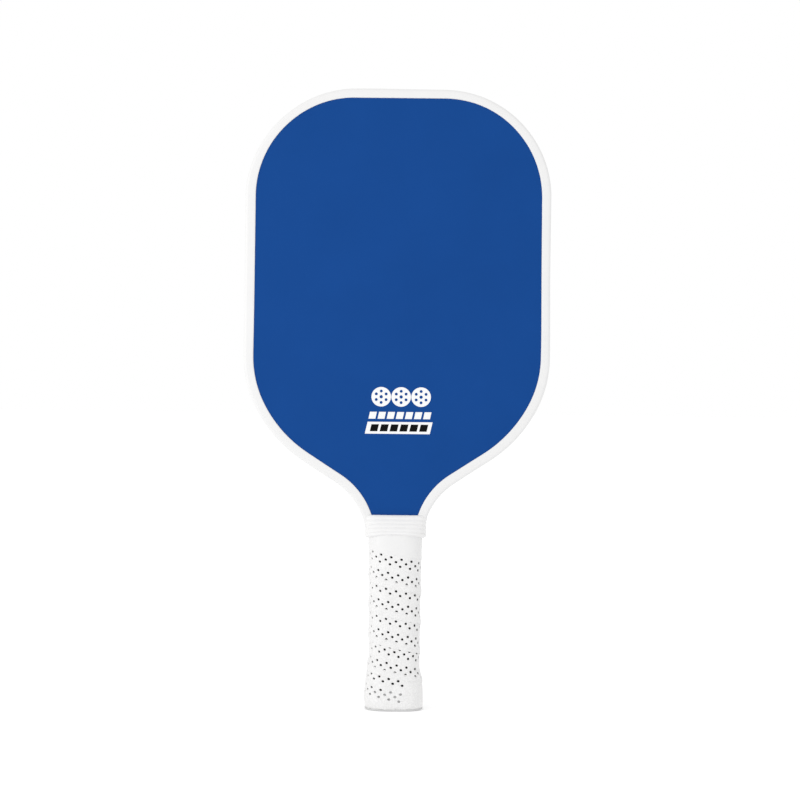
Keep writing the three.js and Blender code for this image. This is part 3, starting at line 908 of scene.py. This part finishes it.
def tape_material():
    looks = Looks("smooth_white_tape", specular=0.4)
    looks.colour(tinted(0.773, 0.002), tinted(0.758, 0.004), looks.noise(12, detail=3))
    looks.rough(looks.noise(3, detail=4, stretch=(1, 1, 4)), 0.38, 0.5)
    return looks.bump(looks.noise(4, detail=3, stretch=(0.4, 0.4, 3)), 0.05).material


def collar_material():
    looks = Looks("matt_white_rubber", specular=0.3)
    looks.colour(tinted(0.803, 0.003), tinted(0.783, 0.005), looks.noise(8, detail=4))
    looks.rough(looks.noise(3, detail=4), 0.55, 0.68)
    return looks.bump(looks.noise(0.6, detail=3), 0.03).material


def cap_material():
    looks = Looks("white_cap_painted_grey_shade", specular=0.4)
    # Painted shade: the white cap is coloured light grey, for the shade on its rim and in the lowest holes.
    looks.colour(grey(0.60), grey(0.57), looks.noise(10, detail=4))
    looks.rough(looks.noise(2, detail=4), 0.42, 0.56)
    return looks.bump(looks.cells(0.35), 0.02).material


def cushion_material():
    looks = Looks("black_felt_backing", specular=0.2)
    looks.colour(grey(0.010), grey(0.004), looks.noise(1.2, detail=4))
    looks.rough(looks.noise(0.8, detail=3), 0.85, 0.98)
    return looks.bump(looks.noise(0.35, detail=3), 0.05).material


def foam_material():
    looks = Looks("moulded_grey_foam", specular=0.25)
    looks.colour(grey(0.055), grey(0.038), looks.cells(2.2))
    looks.rough(looks.noise(3, detail=4), 0.7, 0.88)
    return looks.bump(looks.cells(1.1), 0.12).material


def core_material():
    looks = Looks("natural_polypropylene", specular=0.45)
    looks.shader.inputs["Subsurface Weight"].default_value = 0.2
    looks.colour((0.66, 0.70, 0.69), (0.60, 0.64, 0.63), looks.noise(14, detail=3))
    looks.rough(looks.noise(5, detail=3), 0.4, 0.55)
    return looks.bump(looks.noise(1.5, detail=3, stretch=(1, 4, 1)), 0.03).material


def film_material():
    looks = Looks("bonding_film", specular=0.4)
    looks.colour((0.60, 0.50, 0.28), (0.52, 0.43, 0.23), looks.noise(11, detail=4))
    looks.rough(looks.noise(4, detail=4), 0.35, 0.6)
    return looks.bump(looks.noise(1.6, detail=4), 0.05).material


def steel_material():
    looks = Looks("galvanised_wire", metallic=1.0)
    looks.colour((0.58, 0.60, 0.62), (0.46, 0.48, 0.50), looks.noise(0.8, detail=4))
    looks.rough(looks.noise(0.4, detail=4, stretch=(0.2, 1, 1)), 0.28, 0.5)
    return looks.bump(looks.noise(0.25, detail=3, stretch=(0.2, 1, 1)), 0.01).material


def ink_material(name, light, dark, specular):
    looks = Looks(name, specular=specular)
    looks.colour(light, dark, looks.noise(2.2, detail=5))
    looks.rough(looks.noise(1.5, detail=4), 0.45, 0.6)
    return looks.bump(looks.noise(0.3, detail=3), 0.006).material


# --- Print ---------------------------------------------------------------------------------------

INK = 0.03
BALL_X = [-9.75, 3.3, 16.35]
BALL_Z = 204.6
BALL_RADIUS = 6.4
DASHES = 7
DASH_LEFT = -17.95
DASH_PITCH = 5.95
DASH_WIDTH = 4.5
DASH_LEAN = 1.0
DASH_LOW = 190.2
DASH_HIGH = 194.75
PLATE_LEFT = -20.25
PLATE_RIGHT = 24.05
PLATE_LOW = 180.4
PLATE_HIGH = 188.2
PLATE_LEAN = 1.8
PLATE_BARS = 6
PLATE_BAR_LEFT = -17.0
PLATE_BAR_PITCH = 6.45
PLATE_BAR_WIDTH = 4.9
PLATE_MARGIN = 1.6
BALL_HOLE_REACH = 0.58
BALL_HOLE_RADII = (0.17, 0.15)


def circle_loop(x, z, radius, sides=40):
    angles = np.arange(sides) / sides * TAU
    return np.column_stack([x + radius * np.cos(angles), z + radius * np.sin(angles)])


def slanted_bar(x0, x1, z0, z1, lean):
    """A bar whose ends lean to the right."""
    return np.array([(x0, z0), (x1, z0), (x1 + lean, z1), (x0 + lean, z1)])


def ball_holes(x, z, radius):
    """The round holes in the picture of a ball: one in the middle and six around it."""
    middle_radius, outer_radius = BALL_HOLE_RADII
    holes = [circle_loop(x, z, radius * middle_radius, 24)]
    for number in range(6):
        angle = number * TAU / 6 + TAU / 12
        reach = radius * BALL_HOLE_REACH
        place = (x + reach * math.cos(angle), z + reach * math.sin(angle))
        holes.append(circle_loop(*place, radius * outer_radius, 24))
    return holes


# --- Build ---------------------------------------------------------------------------------------

blue, guard_white, grip_white = face_material(), guard_material(), grip_material()
tape_white, collar_white, cap_white = tape_material(), collar_material(), cap_material()
black, foam, film, steel = cushion_material(), foam_material(), film_material(), steel_material()

add_piece("moulded_edge_guard", *tube(guard_rings(guard_section(), GUARD_END), False), sharp=50,
          material=guard_white, slot="guard_white", replaces=["edge_guard"])
add_piece("fine_honeycomb_core", *core_cells(), sharp=30,
          material=core_material(), slot="core_polypropylene", replaces=["honeycomb_core"])
add_piece("wound_grip_strip", *grip_strip(), sharp=60,
          material=grip_white, slot="grip_white", replaces=["grip_tape"])
add_piece("slanted_finishing_tape", *finishing_tape(), sharp=60,
          material=tape_white, slot="tape_white", replaces=["finishing_tape"])
add_piece("ribbed_neck_collar", *tube(collar_rings(), True), sharp=70,
          material=collar_white, slot="collar_rubber", replaces=["grip_collar"])
# The cap and its badge take the cap's painted-shade grey.
add_piece("moulded_butt_cap", *tube(cap_rings(), False), sharp=40,
          material=cap_white, slot="cap_white", replaces=["butt_cap"])
add_piece("inset_butt_badge", *tube(badge_rings(), True), sharp=40,
          material=cap_white, slot="cap_white", replaces=["butt_badge"])
cushion = add_piece("felt_grip_cushion", *tube(cushion_rings(), True), sharp=60,
                    material=black, slot="cushion_black", replaces=["grip_cushion"])

white_ink = ink_material("white_ink", grey(0.84), grey(0.81), 0.3)
black_ink = ink_material("black_ink", grey(0.005), grey(0.003), 0.05)
ink_low, ink_high = -FACE_Y - INK, -FACE_Y + 0.01
for number, x in enumerate(BALL_X):
    ball = (x, BALL_Z, BALL_RADIUS)
    shape = prism(circle_loop(*ball), ball_holes(*ball), ink_low, ink_high)
    add_piece(f"print_ball_{number + 1}", *shape, material=white_ink)
for number in range(DASHES):
    left = DASH_LEFT + number * DASH_PITCH
    bar = slanted_bar(left, left + DASH_WIDTH, DASH_LOW, DASH_HIGH, DASH_LEAN)
    add_piece(f"print_dash_{number + 1}", *prism(bar, [], ink_low, ink_high), material=white_ink)
plate = slanted_bar(PLATE_LEFT, PLATE_RIGHT - PLATE_LEAN, PLATE_LOW, PLATE_HIGH, PLATE_LEAN)
add_piece("print_plate", *prism(plate, [], ink_low, ink_high), material=white_ink)
for number in range(PLATE_BARS):
    left = PLATE_BAR_LEFT + number * PLATE_BAR_PITCH
    low, high = PLATE_LOW + PLATE_MARGIN, PLATE_HIGH - PLATE_MARGIN
    bar = slanted_bar(left, left + PLATE_BAR_WIDTH, low, high, PLATE_LEAN * 0.6)
    shape = prism(bar, [], ink_low - INK, ink_low + 0.005)
    add_piece(f"print_bar_{number + 1}", *shape, material=black_ink)

for node, material in (
    ("front_face_sheet", blue),
    ("rear_face_sheet", blue),
    ("front_adhesive_film", film),
    ("rear_adhesive_film", film),
    ("front_handle_shell", foam),
    ("rear_handle_shell", foam),
    ("front_cap_staple", steel),
    ("rear_cap_staple", steel),
):
    nodes[node].data.materials.clear()
    nodes[node].data.materials.append(material)

# --- Stage ---------------------------------------------------------------------------------------

world = bpy.data.worlds.new("studio")
bpy.context.scene.world = world
world.use_nodes = True
world.node_tree.nodes["Background"].inputs["Color"].default_value = (1, 1, 1, 1)
world.node_tree.nodes["Background"].inputs["Strength"].default_value = 1.0
bpy.context.scene.view_settings.view_transform = "Standard"

floor_mesh = bpy.data.meshes.new("floor")
floor_mesh.from_pydata([(-30, -30, 0), (30, -30, 0), (30, 30, 0), (-30, 30, 0)], [], [[0, 1, 2, 3]])
floor = bpy.data.objects.new("floor", floor_mesh)
bpy.context.scene.collection.objects.link(floor)
floor_looks = Looks("pale_floor", roughness=0.9, specular=0.0)
floor_looks.shader.inputs["Base Color"].default_value = (0.85, 0.85, 0.85, 1)
floor_looks.shader.inputs["Emission Color"].default_value = (1, 1, 1, 1)
floor_looks.shader.inputs["Emission Strength"].default_value = 0.2
floor_mesh.materials.append(floor_looks.material)


def area_light(name, place, size, power, target=(0, 0, 0.2)):
    data = bpy.data.lights.new(name, "AREA")
    data.shape = "DISK"
    data.size = size
    data.energy = power
    light = bpy.data.objects.new(name, data)
    bpy.context.scene.collection.objects.link(light)
    aim = (Vector(target) - Vector(place)).to_track_quat("-Z", "Y")
    light.matrix_world = Matrix.Translation(place) @ aim.to_matrix().to_4x4()


area_light("key", (-0.7, -0.7, 0.4), 0.5, 2.0)
